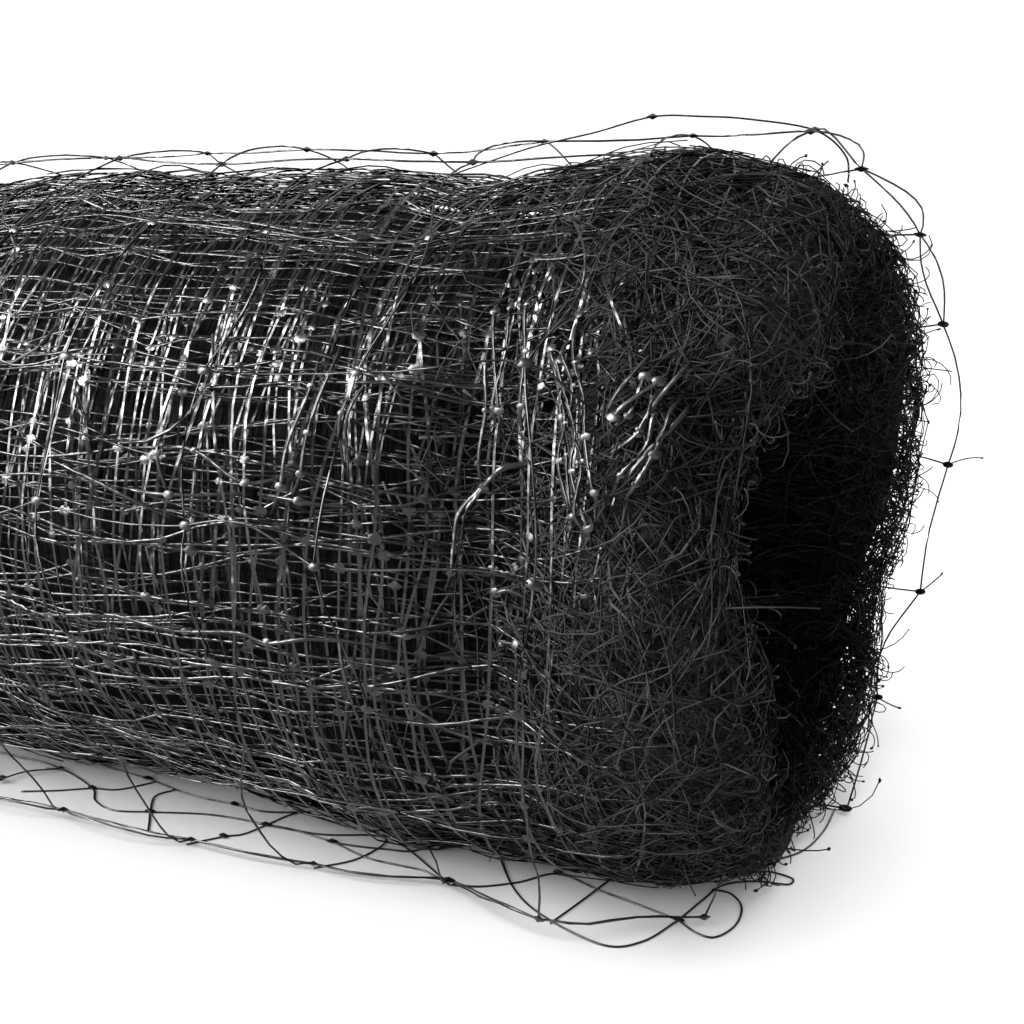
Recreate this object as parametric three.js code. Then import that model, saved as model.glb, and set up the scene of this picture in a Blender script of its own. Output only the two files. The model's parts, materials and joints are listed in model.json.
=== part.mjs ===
// A roll of black plastic netting lying on its side: the wound body, hollow right through and flared
// at its mouth, and the slack outermost turn of the net around it.
// Millimetres, +Z up. The roll's axis runs along X with the open mouth at +X, and its front is at -Y.
// Angles round the roll are in degrees from the back, +Y, up over the top at 90 and down the front at 180.
import * as THREE from 'three';

// The wound body
const ROLL_LENGTH = 500;
const AXIS_HEIGHT = 47.2; // a little under the radius, so the underside is pressed flat on the floor
const SETTLED = 0.7; // what would hang less than this above the floor has sagged down onto it
const BODY_RADIUS = 48;
const BODY_SIDES = 56;

// The section at the open mouth, from the hollow out over the rim to the body.
// inset is how far a row lies back from the rim along the axis, radius is from the axis.
const MOUTH_ROWS = [
  { inset: 100, radius: 19 },
  { inset: 62, radius: 20.5 },
  { inset: 38, radius: 24.5 },
  { inset: 20, radius: 30 },
  { inset: 8, radius: 35.5 },
  { inset: 2, radius: 39.5 },
  { inset: 0, radius: 42 },
  { inset: 2.5, radius: 44.2 },
  { inset: 10, radius: 46.8 },
  { inset: 18, radius: 48.2 },
  { inset: 25, radius: 48.8 },
  { inset: 33, radius: 48.2 },
  { inset: 45, radius: 46 },
  { inset: 60, radius: 46.4 },
  { inset: 80, radius: 47.8 },
  { inset: 115, radius: 47.7 },
  { inset: 160, radius: 48 },
  { inset: 210, radius: 47.6 },
];

// The section at the other end, which is wound and cut the same way but is less worn.
const FAR_ROWS = [
  { inset: 100, radius: 19 },
  { inset: 55, radius: 21 },
  { inset: 30, radius: 26 },
  { inset: 12, radius: 33 },
  { inset: 3, radius: 39 },
  { inset: 0, radius: 42 },
  { inset: 3, radius: 44.6 },
  { inset: 12, radius: 47.2 },
  { inset: 24, radius: 48.2 },
  { inset: 40, radius: 47.2 },
  { inset: 60, radius: 47 },
  { inset: 90, radius: 47.9 },
  { inset: 140, radius: 48 },
  { inset: 210, radius: 47.8 },
];

// Slow swells of the wound surface: lobes round the roll, waves along it.
const SWELLS = [
  { height: 0.4, lobes: 2, waves: 2, phase: 40 },
  { height: 0.25, lobes: 3, waves: 5, phase: 200 },
  { height: 0.2, lobes: 5, waves: 9, phase: 110 },
];

// Where the mouth's rim has slumped back: the middle of the dent, how far it spreads, how deep it is.
const RIM_DENTS = [
  { angle: 295, spread: 45, depth: 5 },
  { angle: 96, spread: 26, depth: 2.5 },
];
const DENT_RUN = 25; // how far from the rim a dent is felt

// The loose turn
const NET_THICKNESS = 1;
const STRAND_WIDTH = 1.2;
const ROWS_ROUND = 13; // gaps from the root at the back round to the end on the floor
const ROWS_ALONG = 23; // gaps along the roll
const OVERHANG = 8; // how far the net reaches past each end of the body
const COVER_RADIUS = 50.3; // the middle of a turn that lies close on the body

// Where the loose turn's edge at the mouth is drawn back. share runs round it from its root to its end.
const EDGE_ROWS = [
  { share: 0, back: 9 },
  { share: 0.2, back: 2 },
  { share: 0.35, back: 2 },
  { share: 0.55, back: 9 },
  { share: 0.75, back: 8 },
  { share: 1, back: 20 },
];
const EDGE_RUN = 75; // how far from the edge the strands crowd together for it

// How far the loose turn's middle stands off the cover radius on its way round.
const SLACK_ROWS = [
  { angle: -66, slack: 0 },
  { angle: -35, slack: 0.5 },
  { angle: 0, slack: 1.2 },
  { angle: 45, slack: 1.2 },
  { angle: 90, slack: 0.6 },
  { angle: 135, slack: 1.2 },
  { angle: 180, slack: 2.4 },
  { angle: 212, slack: 2.6 },
];

// Then it comes down in front and lies on the floor, tucked under the roll.
// out is the distance in front of the axis, height is the underside's above the floor.
const FLOOR_ROWS = [
  { out: 40.5, height: 7.5 },
  { out: 36.5, height: 1.5 },
  { out: 32, height: 0 },
  { out: 25.5, height: 0 },
  { out: 19, height: 0 },
];

// How the loose turn rises and falls along the roll. from is measured back from the mouth's rim.
const RISE_ROWS = [
  { from: -OVERHANG, rise: -1.2 },
  { from: 2, rise: 0.6 },
  { from: 25, rise: 1.8 },
  { from: 48, rise: 0.2 },
  { from: 85, rise: 0.5 },
  { from: 130, rise: 0.1 },
  { from: 220, rise: 0.6 },
  { from: 330, rise: 0.2 },
  { from: 430, rise: 0.6 },
  { from: ROLL_LENGTH + OVERHANG, rise: 0 },
];

// A value read from a table by a smooth step between its rows.
function readTable(rows, key, value, at) {
  const next = rows.findIndex((row) => row[key] >= at);
  if (next === -1) return rows.at(-1)[value];
  if (next === 0) return rows[0][value];
  const before = rows[next - 1];
  const after = rows[next];
  const share = THREE.MathUtils.smoothstep(at, before[key], after[key]);
  return THREE.MathUtils.lerp(before[value], after[value], share);
}

// The shortest turn from one angle to another, in degrees.
function turnBetween(from, to) {
  return THREE.MathUtils.euclideanModulo(to - from + 180, 360) - 180;
}

// A point at an angle and radius round the roll's axis.
function aroundAxis(x, radius, angle) {
  const turn = THREE.MathUtils.degToRad(angle);
  return new THREE.Vector3(x, radius * Math.cos(turn), AXIS_HEIGHT + radius * Math.sin(turn));
}

// How much the swells add to the body's radius.
function swellAt(x, angle) {
  let height = 0;
  for (const swell of SWELLS) {
    const along = (360 * swell.waves * x) / ROLL_LENGTH;
    const turn = swell.lobes * angle + along + swell.phase;
    height += swell.height * Math.sin(THREE.MathUtils.degToRad(turn));
  }
  return height;
}

// How far the mouth's rim has slumped back at an angle.
function dentAt(angle) {
  let depth = 0;
  for (const dent of RIM_DENTS) {
    const off = turnBetween(dent.angle, angle) / dent.spread;
    depth += dent.depth * Math.exp(-off * off);
  }
  return depth;
}

// A closed surface from a grid of points that joins up both round and along.
function closedSurface(rings) {
  const round = rings[0].length;
  const positions = rings.flat().flatMap((point) => point.toArray());
  const index = [];
  rings.forEach((ring, i) => {
    const here = i * round;
    const there = ((i + 1) % rings.length) * round;
    ring.forEach((_, j) => {
      const next = (j + 1) % round;
      index.push(here + j, there + j, there + next);
      index.push(here + j, there + next, here + next);
    });
  });
  return surface(positions, index);
}

function surface(positions, index) {
  const geometry = new THREE.BufferGeometry();
  geometry.setAttribute('position', new THREE.Float32BufferAttribute(positions, 3));
  geometry.setIndex(index);
  geometry.computeVertexNormals();
  return geometry;
}

// The wound body: its section carried round the axis, uneven, and pressed flat where it lies on the floor.
function woundBody() {
  const half = ROLL_LENGTH / 2;
  const mouth = MOUTH_ROWS.map((row) => ({ ...row, x: half - row.inset, worn: true }));
  const far = FAR_ROWS.map((row) => ({ ...row, x: row.inset - half, worn: false }));
  const section = [...mouth, ...far.reverse()];
  const rings = section.map((row) => {
    const ring = [];
    for (let side = 0; side < BODY_SIDES; side += 1) {
      const angle = (360 * side) / BODY_SIDES - 90;
      const radius = row.radius + (swellAt(row.x, angle) * row.radius) / BODY_RADIUS;
      const felt = row.worn ? Math.max(0, 1 - row.inset / DENT_RUN) : 0;
      const point = aroundAxis(row.x - felt * dentAt(angle), radius, angle);
      if (point.z < SETTLED) point.z = 0;
      ring.push(point);
    }
    return ring;
  });
  return closedSurface(rings);
}

// The middle line of the loose turn in a section across the roll at x.
function looseSection(x) {
  const rise = readTable(RISE_ROWS, 'from', 'rise', ROLL_LENGTH / 2 - x);
  const round = SLACK_ROWS.map((row, i) => {
    const lift = i === 0 ? 0 : rise; // the root stays where the net leaves the winding
    return aroundAxis(x, COVER_RADIUS + row.slack + lift, row.angle);
  });
  const down = FLOOR_ROWS.map((row) => new THREE.Vector3(x, -row.out, row.height + NET_THICKNESS / 2));
  return new THREE.CatmullRomCurve3([...round, ...down]);
}

// Lines across a net on both edges of every strand, with as many lines between as steps asks for.
function strandLines(gaps, length, steps) {
  const lines = [];
  const edge = STRAND_WIDTH / 2 / length;
  const reach = 1 - 2 * edge;
  for (let gap = 0; gap <= gaps; gap += 1) {
    const middle = edge + (reach * gap) / gaps;
    lines.push({ at: middle - edge, strand: true }, { at: middle + edge, strand: false });
    for (let step = 1; step < steps && gap < gaps; step += 1) {
      lines.push({ at: middle + (reach * step) / gaps / steps, strand: false });
    }
  }
  return lines;
}

// The loose turn: a draped net with every gap cut through. A cell is solid where it lies on a strand.
function looseTurn() {
  const width = ROLL_LENGTH + 2 * OVERHANG;
  const along = strandLines(ROWS_ALONG, width, 1);
  const round = strandLines(ROWS_ROUND, looseSection(0).getLength(), 2);
  const positions = [];
  const across = round.length;
  for (const line of along) {
    const curve = looseSection((line.at - 0.5) * width);
    for (const step of round) {
      const middle = curve.getPointAt(step.at);
      const crowded = THREE.MathUtils.smoothstep(middle.x, width / 2 - EDGE_RUN, width / 2);
      middle.x -= crowded * readTable(EDGE_ROWS, 'share', 'back', step.at);
      const tangent = curve.getTangentAt(step.at);
      const outward = new THREE.Vector3(0, tangent.z, -tangent.y).setLength(NET_THICKNESS / 2);
      middle.z = Math.max(middle.z, outward.z, -outward.z);
      positions.push(...middle.clone().add(outward).toArray());
      positions.push(...middle.clone().sub(outward).toArray());
    }
  }
  const corner = (i, j, face) => 2 * (i * across + j) + face;
  const solid = (i, j) => {
    const inside = i >= 0 && j >= 0 && i < along.length - 1 && j < across - 1;
    return inside && (along[i].strand || round[j].strand);
  };
  const index = [];
  const quad = (a, b, c, d) => index.push(a, b, c, a, c, d);
  for (let i = 0; i < along.length - 1; i += 1) {
    for (let j = 0; j < across - 1; j += 1) {
      if (!solid(i, j)) continue;
      quad(corner(i, j, 0), corner(i, j + 1, 0), corner(i + 1, j + 1, 0), corner(i + 1, j, 0));
      quad(corner(i, j, 1), corner(i + 1, j, 1), corner(i + 1, j + 1, 1), corner(i, j + 1, 1));
      const edges = [
        { open: !solid(i, j - 1), from: [i, j], to: [i + 1, j] },
        { open: !solid(i + 1, j), from: [i + 1, j], to: [i + 1, j + 1] },
        { open: !solid(i, j + 1), from: [i + 1, j + 1], to: [i, j + 1] },
        { open: !solid(i - 1, j), from: [i, j + 1], to: [i, j] },
      ];
      for (const { from, to } of edges.filter((edge) => edge.open)) {
        quad(corner(...from, 0), corner(...to, 0), corner(...to, 1), corner(...from, 1));
      }
    }
  }
  return surface(positions, index);
}

const blackPlastic = new THREE.MeshStandardMaterial({ color: 0x141415, roughness: 0.35, metalness: 0 });

const roll = new THREE.Group();
const pieces = { wound_roll: woundBody(), loose_turn: looseTurn() };
for (const [name, geometry] of Object.entries(pieces)) {
  const mesh = new THREE.Mesh(geometry, blackPlastic.clone());
  mesh.name = name;
  roll.add(mesh);
}

// The origin lies on the floor under the middle of the whole roll.
const box = new THREE.Box3().setFromObject(roll);
const middle = box.getCenter(new THREE.Vector3());
roll.position.set(-middle.x, -middle.y, -box.min.z);

export default roll;
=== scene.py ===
# %% [markdown]
# A roll of black plastic netting
# The netting is drawn out of one piece of plastic: thin strands that run both ways, with a thick knot
# where they cross. Wound up, some twenty-five turns show through one another. This lesson builds the
# turns as real strands around the solid roll, because a picture of a net on a smooth tube has no
# depth and no ragged edge.

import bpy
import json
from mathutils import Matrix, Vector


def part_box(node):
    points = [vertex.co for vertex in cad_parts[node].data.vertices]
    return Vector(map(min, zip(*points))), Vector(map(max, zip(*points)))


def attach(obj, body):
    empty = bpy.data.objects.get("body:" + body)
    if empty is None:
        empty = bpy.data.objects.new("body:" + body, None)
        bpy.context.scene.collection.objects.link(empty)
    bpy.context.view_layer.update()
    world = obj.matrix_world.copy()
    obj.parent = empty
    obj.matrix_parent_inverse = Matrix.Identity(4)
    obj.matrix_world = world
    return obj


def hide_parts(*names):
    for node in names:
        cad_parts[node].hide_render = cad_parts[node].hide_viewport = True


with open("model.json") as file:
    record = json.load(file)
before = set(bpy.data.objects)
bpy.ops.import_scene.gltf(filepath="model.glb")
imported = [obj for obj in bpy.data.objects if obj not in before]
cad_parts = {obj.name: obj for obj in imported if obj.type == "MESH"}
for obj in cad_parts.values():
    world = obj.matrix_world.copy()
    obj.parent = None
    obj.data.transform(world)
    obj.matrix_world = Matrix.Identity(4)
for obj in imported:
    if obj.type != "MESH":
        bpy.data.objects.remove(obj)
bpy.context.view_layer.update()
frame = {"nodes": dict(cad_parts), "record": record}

# %% [markdown]
# Blender works in metres, and a net is easier to think of in millimetres, so one small value turns
# one into the other. The roll's axis is taken from the hollow that the record states, and its ends
# from the solid's box.

# %% Sizes that everything else is worked out from
import json
import math

import bpy
import numpy as np
from mathutils import Vector
from mathutils.bvhtree import BVHTree

MM = 0.001
PITCH = 20 * MM
roll_low, roll_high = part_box("wound_roll")
bore_low, bore_high = frame["record"]["physics"]["openings"][0]["box_m"]
AXIS_Y = (bore_low[1] + bore_high[1]) / 2
AXIS_Z = (bore_low[2] + bore_high[2]) / 2
MOUTH_X = roll_high.x
FAR_X = roll_low.x
ROLL_RADIUS = roll_high.z - AXIS_Z
TURN_OF_MM = MM / (2 * math.pi * ROLL_RADIUS)
print(f"roll axis at y {AXIS_Y / MM:.1f}, z {AXIS_Z / MM:.1f} mm, radius {ROLL_RADIUS / MM:.1f} mm")

# %% [markdown]
# The camera comes first, so that every later choice can be looked at from where the photograph was
# taken. It stands close to the mouth, a little above the roll, and looks along it towards the left. A
# camera that close gives strong perspective: the mouth looks far bigger than the body behind it.
# Blender keeps what a thing is apart from where it stands, so a helper gives every camera, mesh and
# lamp an object in the scene.

# %% Camera
CAMERA_PLACE = Vector((MOUTH_X + 38.4 * MM, AXIS_Y - 170.9 * MM, 81.4 * MM))
CAMERA_TURN = math.radians(27.0)
CAMERA_DIP = math.radians(10.5)
CAMERA_LENS = 47.2
CAMERA_SENSOR = 36
CAMERA_NEAREST = 5 * MM


def in_scene(name, data):
    """An object that shows data in the scene."""
    thing = bpy.data.objects.new(name, data)
    bpy.context.scene.collection.objects.link(thing)
    return thing


camera_data = bpy.data.cameras.new("camera")
camera = in_scene("camera", camera_data)
looking = Vector((
    -math.sin(CAMERA_TURN) * math.cos(CAMERA_DIP),
    math.cos(CAMERA_TURN) * math.cos(CAMERA_DIP),
    -math.sin(CAMERA_DIP),
))
camera.location = CAMERA_PLACE
camera.rotation_euler = looking.to_track_quat("-Z", "Y").to_euler()
camera_data.lens = CAMERA_LENS
camera_data.sensor_width = CAMERA_SENSOR
camera_data.clip_start = CAMERA_NEAREST
bpy.context.scene.camera = camera
print("camera at", tuple(round(x, 3) for x in camera.location))

# %% [markdown]
# A strand of a turn lies on the roll's surface, so each point of it is named by three numbers: how
# far along the section it is, from the far hollow over the body to the mouth's hollow, how far round,
# and how far off the surface. This class holds a surface as a grid of points and turns those numbers
# into places.

# %% A surface that strands can lie on
class Surface:
    """A grid of points, with how far along each row lies; the columns may join up round the roll."""

    def __init__(self, points, along, closed):
        self.points, self.along, self.closed = points, along, closed
        if closed:
            round_way = np.roll(points, -1, axis=1) - np.roll(points, 1, axis=1)
        else:
            round_way = np.gradient(points, axis=1)
        normals = np.cross(round_way, np.gradient(points, axis=0))
        self.normals = normals / np.linalg.norm(normals, axis=2, keepdims=True)

    def read(self, grid, row, column):
        """Values between the points of a grid."""
        columns = grid.shape[1]
        r0 = np.clip(np.floor(row).astype(int), 0, grid.shape[0] - 2)
        if self.closed:
            c0 = np.floor(column).astype(int)
            c1 = (c0 + 1) % columns
        else:
            c0 = np.clip(np.floor(column).astype(int), 0, columns - 2)
            c1 = c0 + 1
        fr, fc = (row - r0)[..., None], (column - c0)[..., None]
        c0 = c0 % columns
        near = grid[r0, c0] * (1 - fc) + grid[r0, c1] * fc
        far = grid[r0 + 1, c0] * (1 - fc) + grid[r0 + 1, c1] * fc
        return near * (1 - fr) + far * fr

    def place(self, along, turn, lift):
        """Places and outward directions; turn is a share of the way round."""
        row = np.interp(along, self.along, np.arange(len(self.along)))
        columns = self.points.shape[1]
        column = np.mod(turn, 1) * columns if self.closed else np.clip(turn, 0, 1) * (columns - 1)
        normal = self.read(self.normals, row, column)
        normal /= np.linalg.norm(normal, axis=-1, keepdims=True)
        return self.read(self.points, row, column) + lift[..., None] * normal, normal


def eased(value, start, end):
    """0 before start, 1 after end, and a smooth step between."""
    share = np.clip((value - start) / (end - start), 0, 1)
    return share * share * (3 - 2 * share)


def hump(value, middle, spread):
    """1 at the middle, falling off to nothing on both sides."""
    return np.exp(-(((value - middle) / spread) ** 2))


def read_rows(rows, at):
    """A value read off a short table of (place, value), with straight lines between."""
    places, values = np.array(rows, float).T
    return np.interp(at, places, values)


# %% [markdown]
# The grid is read off the solid by casting rays at it, so the strands follow whatever shape it has.
# On the body the rays come straight in from outside. Round a rim they fan out from a ring inside the
# wall, and in the hollows they start on the axis.

# %% Read the roll's surface off its solid
COLUMNS = 112
SPINE_INSET = 22 * MM
SPINE_RADIUS = 38.5 * MM
HOLLOW_DEPTH = 70 * MM
STATION = 3 * MM
BEND_STEP = 6


def section_rays():
    """Rays in the roll's section: x, radius, step in x and step in radius, from hollow to hollow."""
    mouth, far = MOUTH_X - SPINE_INSET, FAR_X + SPINE_INSET
    bends = np.radians(np.arange(BEND_STEP, 180, BEND_STEP))
    hollow = np.arange(0, HOLLOW_DEPTH, STATION)
    rays = [(far + d, 0, 0, 1) for d in hollow[::-1]]
    rays += [(far, SPINE_RADIUS, -math.sin(b), math.cos(b)) for b in bends[::-1]]
    rays += [(x, 2 * ROLL_RADIUS, 0, -1) for x in np.arange(far, mouth, STATION)]
    rays += [(mouth, SPINE_RADIUS, math.sin(b), math.cos(b)) for b in bends]
    return rays + [(mouth - d, 0, 0, 1) for d in hollow]


def read_roll(node):
    """The solid's surface as a grid, smoothed a little."""
    mesh = node.data
    tree = BVHTree.FromPolygons([v.co for v in mesh.vertices], [p.vertices for p in mesh.polygons])
    rows = []
    for x, radius, step_x, step_out in section_rays():
        row = []
        for column in range(COLUMNS):
            turn = 2 * math.pi * column / COLUMNS
            out = Vector((0, math.cos(turn), math.sin(turn)))
            start = Vector((x, AXIS_Y, AXIS_Z)) + radius * out
            row.append(tree.ray_cast(start, Vector((step_x, 0, 0)) + step_out * out)[0])
        rows.append(row)
    points = np.array(rows, float)
    for _ in range(3):
        points = (np.roll(points, 1, axis=1) + 2 * points + np.roll(points, -1, axis=1)) / 4
    points[1:-1] = (points[:-2] + 2 * points[1:-1] + points[2:]) / 4
    steps = np.linalg.norm(np.diff(points, axis=0), axis=2).mean(axis=1)
    return Surface(points, np.concatenate([[0], np.cumsum(steps)]), closed=True)


solid_skin = read_roll(frame["nodes"]["wound_roll"])
mean_x = solid_skin.points[:, :, 0].mean(axis=1)
MOUTH_RIM = solid_skin.along[mean_x.argmax()]
FAR_RIM = solid_skin.along[mean_x.argmin()]
print(f"section: {solid_skin.along[-1] / MM:.0f} mm long")
print(f"rims at {FAR_RIM / MM:.0f} and {MOUTH_RIM / MM:.0f} mm along it")

# %% [markdown]
# A few soft shapes are left to this lesson. The frayed net hangs a little into the hollow at the top
# and in front, the front is dented just behind the flared mouth, and the rims are fluffed up in
# tufts. The winding is uneven too, so low ridges run round the body and break up the shine. Moving
# the grid along its own normals shapes the heart, the turns and the frayed bits together.

# %% The lip hangs, the front is dented and the rims are fluffed up
SOFT_ROWS = [
    # mm back from the mouth, over how many mm, share of the way round, over what share, height in mm
    (-10, 11, 0.345, 0.085, 9),
    (-10, 11, 0.535, 0.03, 5),
    (30, 12, 0.5, 0.12, -8.5),
    (52, 14, 0.51, 0.055, -3),
    (46, 22, 0.665, 0.075, 3),
    (24, 14, 0.26, 0.09, 0.5),
    (50, 12, 0.265, 0.09, -2),
    (70, 25, 0.26, 0.08, 0.7),
]
TUFT_ROWS = [
    # degrees round from the back, how far a tuft stands up in mm
    (-180, -0.5), (-170, 0), (-158, 2), (-146, 2.5), (-130, -1), (-112, -3.5), (-90, -3.2), (-74, 2),
    (-60, 4.2), (-45, 4), (-27, 1.2), (-18, 1.8), (-5, 3.6), (20, 3.6), (40, 3.4), (58, 1.8),
    (72, -1.2), (84, -0.9), (100, 0.4), (125, 0), (142, 1.5), (155, -2), (168, -2.4), (180, -0.5),
]
TUFT_RUN = 8 * MM
RIDGE_FACE = 0.44
RIDGE_ROWS = [
    # length of the wave along the roll in mm, height in mm, how far it leans as it goes round
    (16, 0.36, 2.5),
    (64, 0.8, -1.5),
    (23, 0.2, 4),
]
RIDGE_CREST = 42 * MM
RIDGE_START = 20 * MM
RIDGE_FULL = 40 * MM


def degrees_round(turn):
    """A share of the way round as degrees from -180 to 180, with 0 at the back."""
    return 360 * ((turn + 0.5) % 1 - 0.5)


def worn(skin):
    """A surface with the soft shapes, the tufts and the ridges."""
    along = skin.along[:, None]
    turn = np.arange(COLUMNS) / COLUMNS
    tufts = read_rows(TUFT_ROWS, degrees_round(turn)) * MM
    lift = tufts * (hump(along, MOUTH_RIM, TUFT_RUN) + hump(along, FAR_RIM, TUFT_RUN))
    for back, run, spot, spread, height in SOFT_ROWS:
        place = hump(along, MOUTH_RIM - back * MM, run * MM) * hump(turn, spot, spread)
        lift = lift + height * MM * place
    body = eased(along, FAR_RIM + RIDGE_START, FAR_RIM + RIDGE_FULL)
    body = body * eased(along, MOUTH_RIM - RIDGE_START, MOUTH_RIM - RIDGE_FULL)
    away = 1 - np.cos(2 * np.pi * (turn - RIDGE_FACE))
    for length, height, lean in RIDGE_ROWS:
        wave = 2 * np.pi * (MOUTH_RIM - RIDGE_CREST - along) / (length * MM) + lean * away
        lift = lift + height * MM * body * np.cos(wave)
    return Surface(skin.points + lift[..., None] * skin.normals, skin.along, closed=True)


roll_skin = worn(solid_skin)
moved = np.linalg.norm(roll_skin.points - solid_skin.points, axis=2)
print(f"the worn surface leaves the solid by {moved.max() / MM:.1f} mm at most")

# %% [markdown]
# Hundreds of thousands of faces are quick to make when whole arrays are worked on at once. Everything
# for one piece is collected first: its points, its faces, and for each face a place on a texture map,
# so that its finish can be baked. Every strand has a strip of that map to itself, and so has every
# row of knots.

# %% Collect the parts of a piece, and make its mesh
class Parts:
    """Points, faces and map places collected for one piece; points on one long edge share its number."""

    def __init__(self):
        self.points, self.faces, self.maps, self.edges = [], [], [], []
        self.count, self.edge_count, self.strips = 0, 0, 0

    def add(self, points, faces, maps, strips, edges=None):
        points = points.reshape(-1, 3)
        edges = np.full(len(points), -1) if edges is None else edges.ravel() + self.edge_count
        self.points.append(points)
        self.faces.append(faces + self.count)
        self.maps.append(maps + np.array([0, self.strips]))
        self.edges.append(edges)
        self.count += len(points)
        self.edge_count = max(self.edge_count, edges.max() + 1)
        self.strips += strips


def make_piece(name, parts):
    """A mesh object of what parts holds. A face whose last two corners are one is a triangle."""
    points, faces = np.concatenate(parts.points), np.concatenate(parts.faces)
    maps = np.concatenate(parts.maps) / np.array([1, parts.strips])
    edges = np.concatenate(parts.edges)
    keep = np.ones(faces.shape, bool)
    keep[:, 3] = faces[:, 3] != faces[:, 2]
    corners = keep.sum(axis=1)
    starts = np.concatenate([[0], np.cumsum(corners)[:-1]])
    mesh = bpy.data.meshes.new(name)
    mesh.vertices.add(len(points))
    mesh.vertices.foreach_set("co", points.astype(np.float32).ravel())
    mesh.loops.add(int(corners.sum()))
    mesh.loops.foreach_set("vertex_index", faces[keep].astype(np.int32))
    mesh.polygons.add(len(faces))
    mesh.polygons.foreach_set("loop_start", starts.astype(np.int32))
    mesh.polygons.foreach_set("use_smooth", np.ones(len(faces), bool))
    mesh.uv_layers.new(name="OFBake")
    mesh.uv_layers["OFBake"].data.foreach_set("uv", maps[keep].astype(np.float32).ravel())
    mesh.update(calc_edges=True)
    ends = np.empty(2 * len(mesh.edges), np.int32)
    mesh.edges.foreach_get("vertices", ends)
    first, second = edges[ends[0::2]], edges[ends[1::2]]
    mesh.edges.foreach_set("use_edge_sharp", (first == second) & (first >= 0))
    print(f"{name}: {len(points)} points, {int((corners - 2).sum())} triangles")
    return in_scene(name, mesh)


# %% [markdown]
# The net is drawn from a flat sheet, and its strands come out in two sorts. Those round the roll are
# flat and flash as a whole when they lie right for the lamp. Those along it are round and show a thin
# bright line. Three sides do for both at this size: smooth shading makes the round ones round, and on
# the flat ones the long edges are marked sharp.

# %% Ribbons
RIBBON = np.array([(1, 0.6), (-1, 0.6), (0, -1.2)])
SIDES = len(RIBBON)
CAP_SHARE = 0.01
WALL_SHARE = 0.98


def unit(vectors):
    """Vectors made one long."""
    return vectors / np.maximum(np.linalg.norm(vectors, axis=-1, keepdims=True), 1e-12)


def add_ribbons(parts, centres, normals, width, height, flat=False):
    """Closed ribbons along centres, an array of strands by points by 3; width and height are half sizes."""
    strands, steps = centres.shape[:2]
    tangents = unit(np.gradient(centres, axis=1))
    across = unit(np.cross(tangents, normals))
    upward = np.cross(across, tangents)
    width = np.broadcast_to(width, (strands, steps))[..., None, None]
    corners = width * RIBBON[:, :1] * across[:, :, None] + height * RIBBON[:, 1:] * upward[:, :, None]
    number = np.arange(strands * steps * SIDES).reshape(strands, steps, SIDES)
    here, there = number[:, :-1], number[:, 1:]
    walls = np.stack([here, there, np.roll(there, -1, 2), np.roll(here, -1, 2)], axis=-1).reshape(-1, 4)
    caps = np.concatenate([number[:, 0], number[:, -1, ::-1]])[:, [0, 1, 2, 2]]
    low = np.broadcast_to(np.arange(strands)[:, None, None] + np.arange(SIDES) / SIDES, here.shape)
    step = np.arange(steps - 1)[:, None]
    left = np.broadcast_to(CAP_SHARE + WALL_SHARE * step / (steps - 1), here.shape)
    high, right = low + 1 / SIDES, left + WALL_SHARE / (steps - 1)
    wall_maps = np.stack([left, low, right, low, right, high, left, high], axis=-1).reshape(-1, 4, 2)
    foot = np.tile(np.arange(strands), 2)
    side = np.repeat([0.0, 1 - CAP_SHARE], strands)
    cap_maps = np.stack([side, foot, side + CAP_SHARE, foot, side, foot + 1, side, foot + 1], axis=-1)
    edges = np.broadcast_to(np.arange(strands)[:, None, None] * SIDES + np.arange(SIDES), number.shape)
    faces = np.concatenate([walls, caps])
    maps = np.concatenate([wall_maps, cap_maps.reshape(-1, 4, 2)])
    parts.add(centres[:, :, None] + corners, faces, maps, strands, edges if flat else None)


# %% [markdown]
# Where two strands cross, the plastic is thicker: a knot like a small lens, drawn out along the roll.
# It is two shallow cones on a sharp rim. Smooth shading bends the light over each cone as over a
# dome, so wherever a knot lies it catches the lamp in one white dot. A bead with two points serves
# for the tips of cut ends.

# %% Knots: lenses and beads
KNOTS_IN_STRIP = 64


def add_knots(parts, centres, axes, sizes, ring, poles, edges=None):
    """Closed knots: a ring of points between two poles, placed at every centre by its three axes."""
    corners = len(ring)
    outline = np.array([poles[0], *ring, poles[1]])
    points = centres[:, None] + np.einsum("pk,nk,nkc->npc", outline, sizes, axes)
    here = 1 + np.arange(corners)
    after = 1 + np.roll(np.arange(corners), -1)
    tail = np.stack([0 * here, after, here, here], axis=-1)
    head = np.stack([0 * here + corners + 1, here, after, after], axis=-1)
    spot = np.arange(len(centres))
    faces = (spot[:, None, None] * len(outline) + np.concatenate([tail, head])).reshape(-1, 4)
    left = np.arange(2 * corners) / (2 * corners)
    right = left + 0.5 / corners
    cell = np.stack([left, 0 * left, left, 0 * left + 1, right, 0 * left + 1, right, 0 * left + 1], axis=-1)
    corner = np.stack([spot % KNOTS_IN_STRIP / KNOTS_IN_STRIP, spot // KNOTS_IN_STRIP], axis=-1)
    maps = corner[:, None, None] + cell.reshape(1, -1, 4, 2) * np.array([1 / KNOTS_IN_STRIP, 1])
    parts.add(points, faces, maps.reshape(-1, 4, 2), math.ceil(len(centres) / KNOTS_IN_STRIP), edges)


def knot_axes(tangents, normals):
    """Three directions for every knot: along it, across it and up."""
    tangents = unit(tangents)
    across = unit(np.cross(tangents, normals))
    return np.stack([tangents, across, np.cross(across, tangents)], axis=1)


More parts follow.
